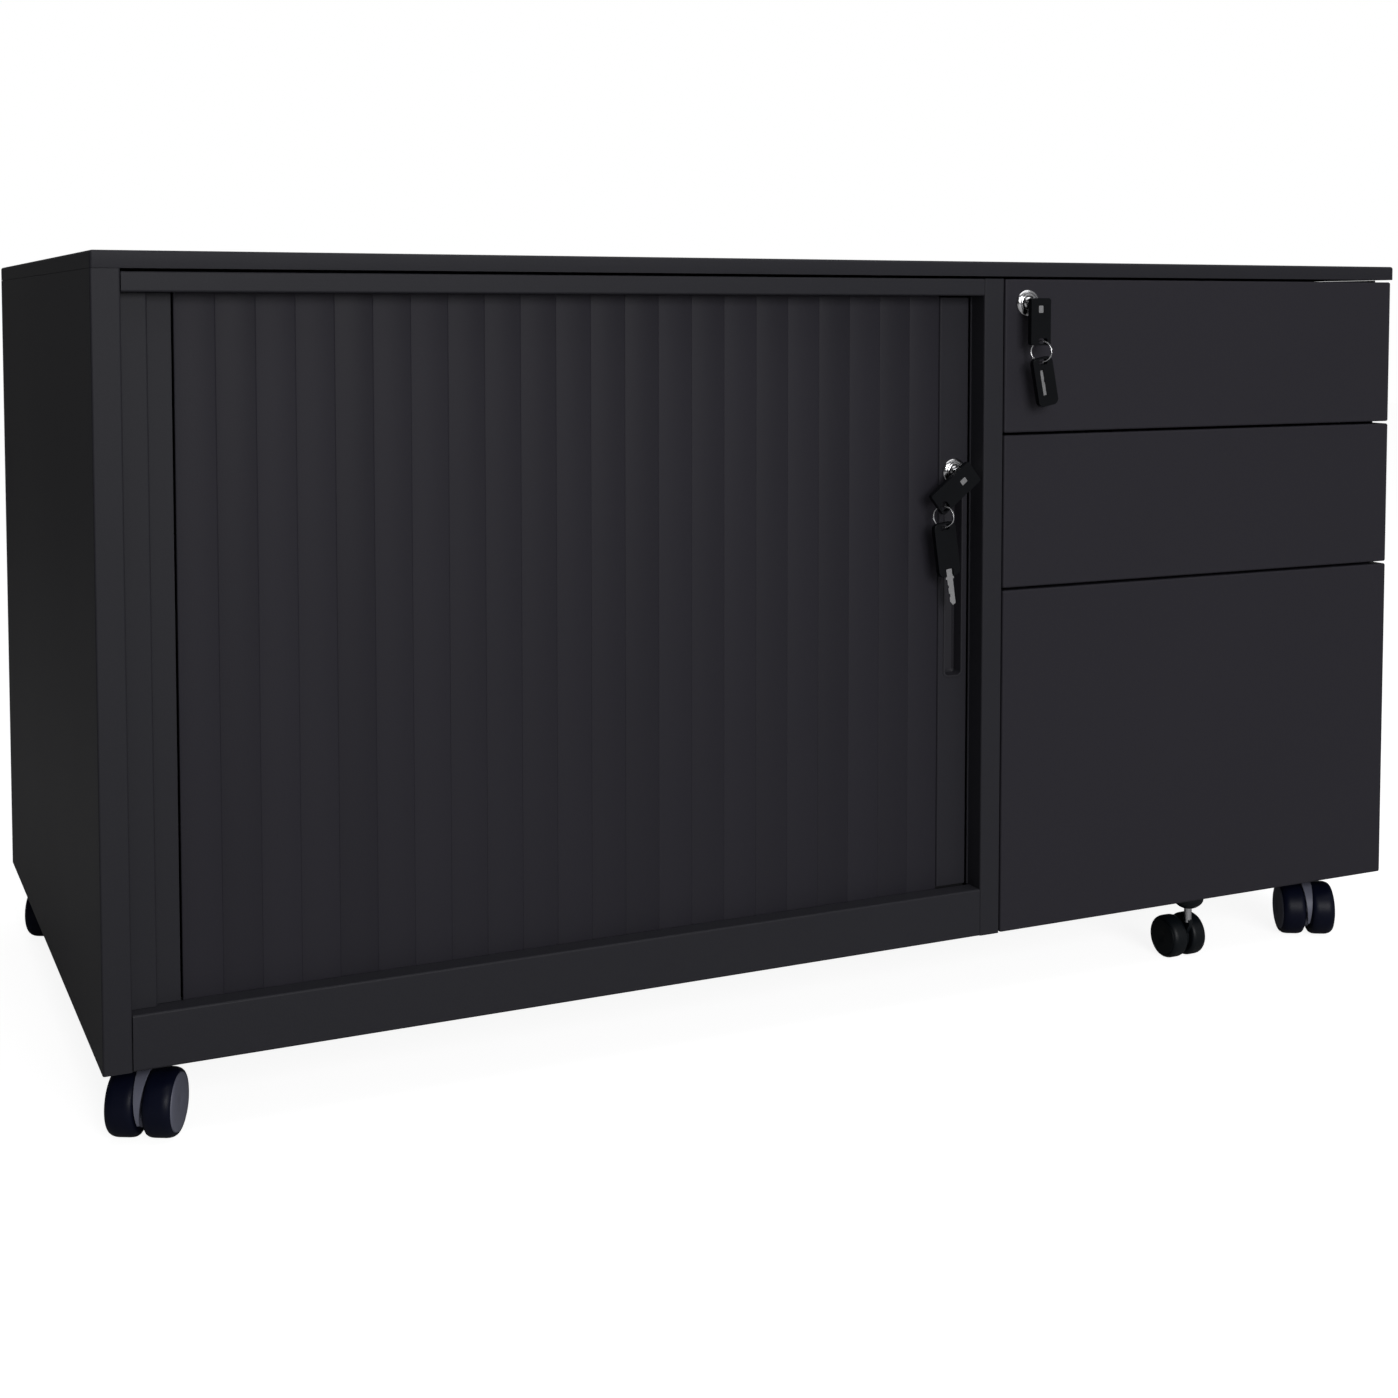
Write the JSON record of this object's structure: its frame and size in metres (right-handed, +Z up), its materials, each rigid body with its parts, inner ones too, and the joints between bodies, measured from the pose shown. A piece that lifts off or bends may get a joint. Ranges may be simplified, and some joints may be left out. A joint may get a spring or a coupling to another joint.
{
  "type": "mobile tambour and drawer caddy cabinet",
  "caption": "Low mobile steel storage cabinet on castors with a sliding tambour cupboard beside a lockable pedestal of filing drawers.",
  "frame": {"origin": "centre of the footprint, keys included, on the floor under the castors", "axes": "+X to the right seen from the front, front faces -Y, +Z up"},
  "size_m": [1.2, 0.6234, 0.645],
  "materials": {
    "graphite_paint": "fine-textured powder coat",
    "tambour_paint": "fine-textured powder coat",
    "dark_channel": "matt",
    "lock_chrome": "polished",
    "ring_steel": "bright",
    "key_plastic": "satin",
    "zinc_steel": "zinc plated",
    "castor_black": "satin",
    "castor_tread": "satin",
    "castor_grey": "satin"
  },
  "bodies": {
    "cabinet": {"top_cap": "graphite_paint", "left_side_panel": "graphite_paint", "right_side_panel": "graphite_paint", "back_panel": "graphite_paint", "base_pan": "graphite_paint", "divider_panel": "graphite_paint", "top_rail": "graphite_paint", "bottom_rail": "graphite_paint", "centre_post": "graphite_paint", "left_guide_strip": "graphite_paint", "lower_track": "dark_channel", "upper_track": "dark_channel", "curtain_guard": "graphite_paint", "tambour_curtain": "tambour_paint", "shelf": "graphite_paint", "left_runner_frame": "zinc_steel", "right_runner_frame": "zinc_steel"},
    "door": {"lead_stile": "tambour_paint", "pull_cup": "dark_channel", "tambour_lock_body": "lock_chrome"},
    "door_bolt": {"tambour_bolt": "zinc_steel"},
    "door_plug": {"tambour_lock_plug": "lock_chrome"},
    "door_key": {"tambour_key_head": "key_plastic"},
    "door_ring": {"tambour_key_ring": "ring_steel"},
    "door_spare": {"tambour_spare_key": "key_plastic"},
    "lock_bar": {"lock_bar": "zinc_steel"},
    "drawer_plug": {"drawer_lock_plug": "lock_chrome"},
    "drawer_key": {"drawer_key_head": "key_plastic"},
    "drawer_ring": {"drawer_key_ring": "ring_steel"},
    "drawer_spare": {"drawer_spare_key": "key_plastic"},
    "top_drawer": {"top_drawer_front": "graphite_paint", "top_drawer_tray": "graphite_paint", "top_left_slide": "zinc_steel", "top_right_slide": "zinc_steel", "drawer_lock_body": "lock_chrome"},
    "middle_drawer": {"middle_drawer_front": "graphite_paint", "middle_drawer_tray": "graphite_paint", "middle_left_slide": "zinc_steel", "middle_right_slide": "zinc_steel"},
    "file_drawer": {"file_drawer_front": "graphite_paint", "file_drawer_tray": "graphite_paint", "file_left_slide": "zinc_steel", "file_right_slide": "zinc_steel", "file_castor_mount": "castor_black"},
    "front_left_castor": {"front_left_castor_fork": "castor_grey"},
    "front_left_castor_left_wheel": {"front_left_castor_left_wheel": "castor_tread"},
    "front_left_castor_right_wheel": {"front_left_castor_right_wheel": "castor_tread"},
    "front_right_castor": {"front_right_castor_fork": "castor_grey"},
    "front_right_castor_left_wheel": {"front_right_castor_left_wheel": "castor_tread"},
    "front_right_castor_right_wheel": {"front_right_castor_right_wheel": "castor_tread"},
    "rear_left_castor": {"rear_left_castor_fork": "castor_grey"},
    "rear_left_castor_left_wheel": {"rear_left_castor_left_wheel": "castor_tread"},
    "rear_left_castor_right_wheel": {"rear_left_castor_right_wheel": "castor_tread"},
    "rear_right_castor": {"rear_right_castor_fork": "castor_grey"},
    "rear_right_castor_left_wheel": {"rear_right_castor_left_wheel": "castor_tread"},
    "rear_right_castor_right_wheel": {"rear_right_castor_right_wheel": "castor_tread"},
    "file_castor": {"file_castor_fork": "zinc_steel"},
    "file_castor_left_wheel": {"file_castor_left_wheel": "castor_black"},
    "file_castor_right_wheel": {"file_castor_right_wheel": "castor_black"}
  },
  "joints": [
    {"name": "door_slide", "type": "slide", "parent": "cabinet", "child": "door", "axis": [-1, 0, 0], "range_m": [0, 0.6], "deforming": ["tambour_curtain"]},
    {"name": "door_bolt", "type": "slide", "parent": "door", "child": "door_bolt", "axis": [1, 0, 0], "range_m": [0, 0.009]},
    {"name": "door_lock_turn", "type": "hinge", "parent": "door", "child": "door_plug", "pos_m": [0.1192, -0.26888, 0.4646], "axis": [0, 1, 0], "range_deg": [0, 90]},
    {"name": "door_key_fold", "type": "hinge", "parent": "door_plug", "child": "door_key", "pos_m": [0.1192, -0.28469, 0.4646], "axis": [-0.6157, 0, 0.788], "range_deg": [0, 90]},
    {"name": "ring_swing_door", "type": "hinge", "parent": "door_key", "child": "door_ring", "pos_m": [0.09923, -0.28469, 0.43656], "axis": [0, 1, 0], "range_deg": [-7, 10]},
    {"name": "spare_swing_door", "type": "hinge", "parent": "door_ring", "child": "door_spare", "pos_m": [0.09923, -0.28469, 0.41856], "axis": [0, 1, 0], "range_deg": [-7, 10]},
    {"name": "drawer_file_slide", "type": "slide", "parent": "cabinet", "child": "file_drawer", "axis": [0, -1, 0], "range_m": [0, 0.4]},
    {"name": "drawer_middle_slide", "type": "slide", "parent": "cabinet", "child": "middle_drawer", "axis": [0, -1, 0], "range_m": [0, 0.4]},
    {"name": "drawer_top_slide", "type": "slide", "parent": "cabinet", "child": "top_drawer", "axis": [0, -1, 0], "range_m": [0, 0.4]},
    {"name": "drawer_lock_turn", "type": "hinge", "parent": "top_drawer", "child": "drawer_plug", "pos_m": [0.1804, -0.28839, 0.6098], "axis": [0, 1, 0], "range_deg": [0, 90]},
    {"name": "drawer_key_fold", "type": "hinge", "parent": "drawer_plug", "child": "drawer_key", "pos_m": [0.1804, -0.30418, 0.6098], "axis": [-1, 0, 0], "range_deg": [0, 90]},
    {"name": "ring_swing_drawer", "type": "hinge", "parent": "drawer_key", "child": "drawer_ring", "pos_m": [0.1844, -0.30418, 0.5771], "axis": [0, 1, 0], "range_deg": [-10, 10]},
    {"name": "spare_swing_drawer", "type": "hinge", "parent": "drawer_ring", "child": "drawer_spare", "pos_m": [0.1844, -0.30418, 0.5591], "axis": [0, 1, 0], "range_deg": [-10, 10]},
    {"name": "lock_bar_lift", "type": "slide", "parent": "cabinet", "child": "lock_bar", "axis": [0, 0, 1], "range_m": [0, 0.01]},
    {"name": "swivel_front_left", "type": "hinge", "parent": "cabinet", "child": "front_left_castor", "pos_m": [-0.5565, -0.24138, 0.06], "axis": [0, 0, 1], "continuous": true},
    {"name": "wheel_front_left_left", "type": "hinge", "parent": "front_left_castor", "child": "front_left_castor_left_wheel", "pos_m": [-0.56495, -0.25728, 0.025], "axis": [0.8829, -0.4695, 0], "continuous": true},
    {"name": "wheel_front_left_right", "type": "hinge", "parent": "front_left_castor", "child": "front_left_castor_right_wheel", "pos_m": [-0.56495, -0.25728, 0.025], "axis": [0.8829, -0.4695, 0], "continuous": true},
    {"name": "swivel_front_right", "type": "hinge", "parent": "cabinet", "child": "front_right_castor", "pos_m": [0.539, -0.24138, 0.06], "axis": [0, 0, 1], "continuous": true},
    {"name": "wheel_front_right_left", "type": "hinge", "parent": "front_right_castor", "child": "front_right_castor_left_wheel", "pos_m": [0.53055, -0.25728, 0.025], "axis": [0.8829, -0.4695, 0], "continuous": true},
    {"name": "wheel_front_right_right", "type": "hinge", "parent": "front_right_castor", "child": "front_right_castor_right_wheel", "pos_m": [0.53055, -0.25728, 0.025], "axis": [0.8829, -0.4695, 0], "continuous": true},
    {"name": "swivel_rear_left", "type": "hinge", "parent": "cabinet", "child": "rear_left_castor", "pos_m": [-0.5565, 0.26461, 0.06], "axis": [0, 0, 1], "continuous": true},
    {"name": "wheel_rear_left_left", "type": "hinge", "parent": "rear_left_castor", "child": "rear_left_castor_left_wheel", "pos_m": [-0.56495, 0.24872, 0.025], "axis": [0.8829, -0.4695, 0], "continuous": true},
    {"name": "wheel_rear_left_right", "type": "hinge", "parent": "rear_left_castor", "child": "rear_left_castor_right_wheel", "pos_m": [-0.56495, 0.24872, 0.025], "axis": [0.8829, -0.4695, 0], "continuous": true},
    {"name": "swivel_rear_right", "type": "hinge", "parent": "cabinet", "child": "rear_right_castor", "pos_m": [0.539, 0.26461, 0.06], "axis": [0, 0, 1], "continuous": true},
    {"name": "wheel_rear_right_left", "type": "hinge", "parent": "rear_right_castor", "child": "rear_right_castor_left_wheel", "pos_m": [0.53055, 0.24872, 0.025], "axis": [0.8829, -0.4695, 0], "continuous": true},
    {"name": "wheel_rear_right_right", "type": "hinge", "parent": "rear_right_castor", "child": "rear_right_castor_right_wheel", "pos_m": [0.53055, 0.24872, 0.025], "axis": [0.8829, -0.4695, 0], "continuous": true},
    {"name": "swivel_file", "type": "hinge", "parent": "file_drawer", "child": "file_castor", "pos_m": [0.37745, -0.27188, 0.06], "axis": [0, 0, 1], "continuous": true},
    {"name": "wheel_file_left", "type": "hinge", "parent": "file_castor", "child": "file_castor_left_wheel", "pos_m": [0.37745, -0.25788, 0.0195], "axis": [-1, 0, 0], "continuous": true},
    {"name": "wheel_file_right", "type": "hinge", "parent": "file_castor", "child": "file_castor_right_wheel", "pos_m": [0.37745, -0.25788, 0.0195], "axis": [-1, 0, 0], "continuous": true}
  ],
  "couplings": [
    {"joint": "door_lock_turn", "follows": "door_bolt", "rad_per_m": 174.52},
    {"joint": "drawer_lock_turn", "follows": "lock_bar_lift", "rad_per_m": 157.06}
  ]
}
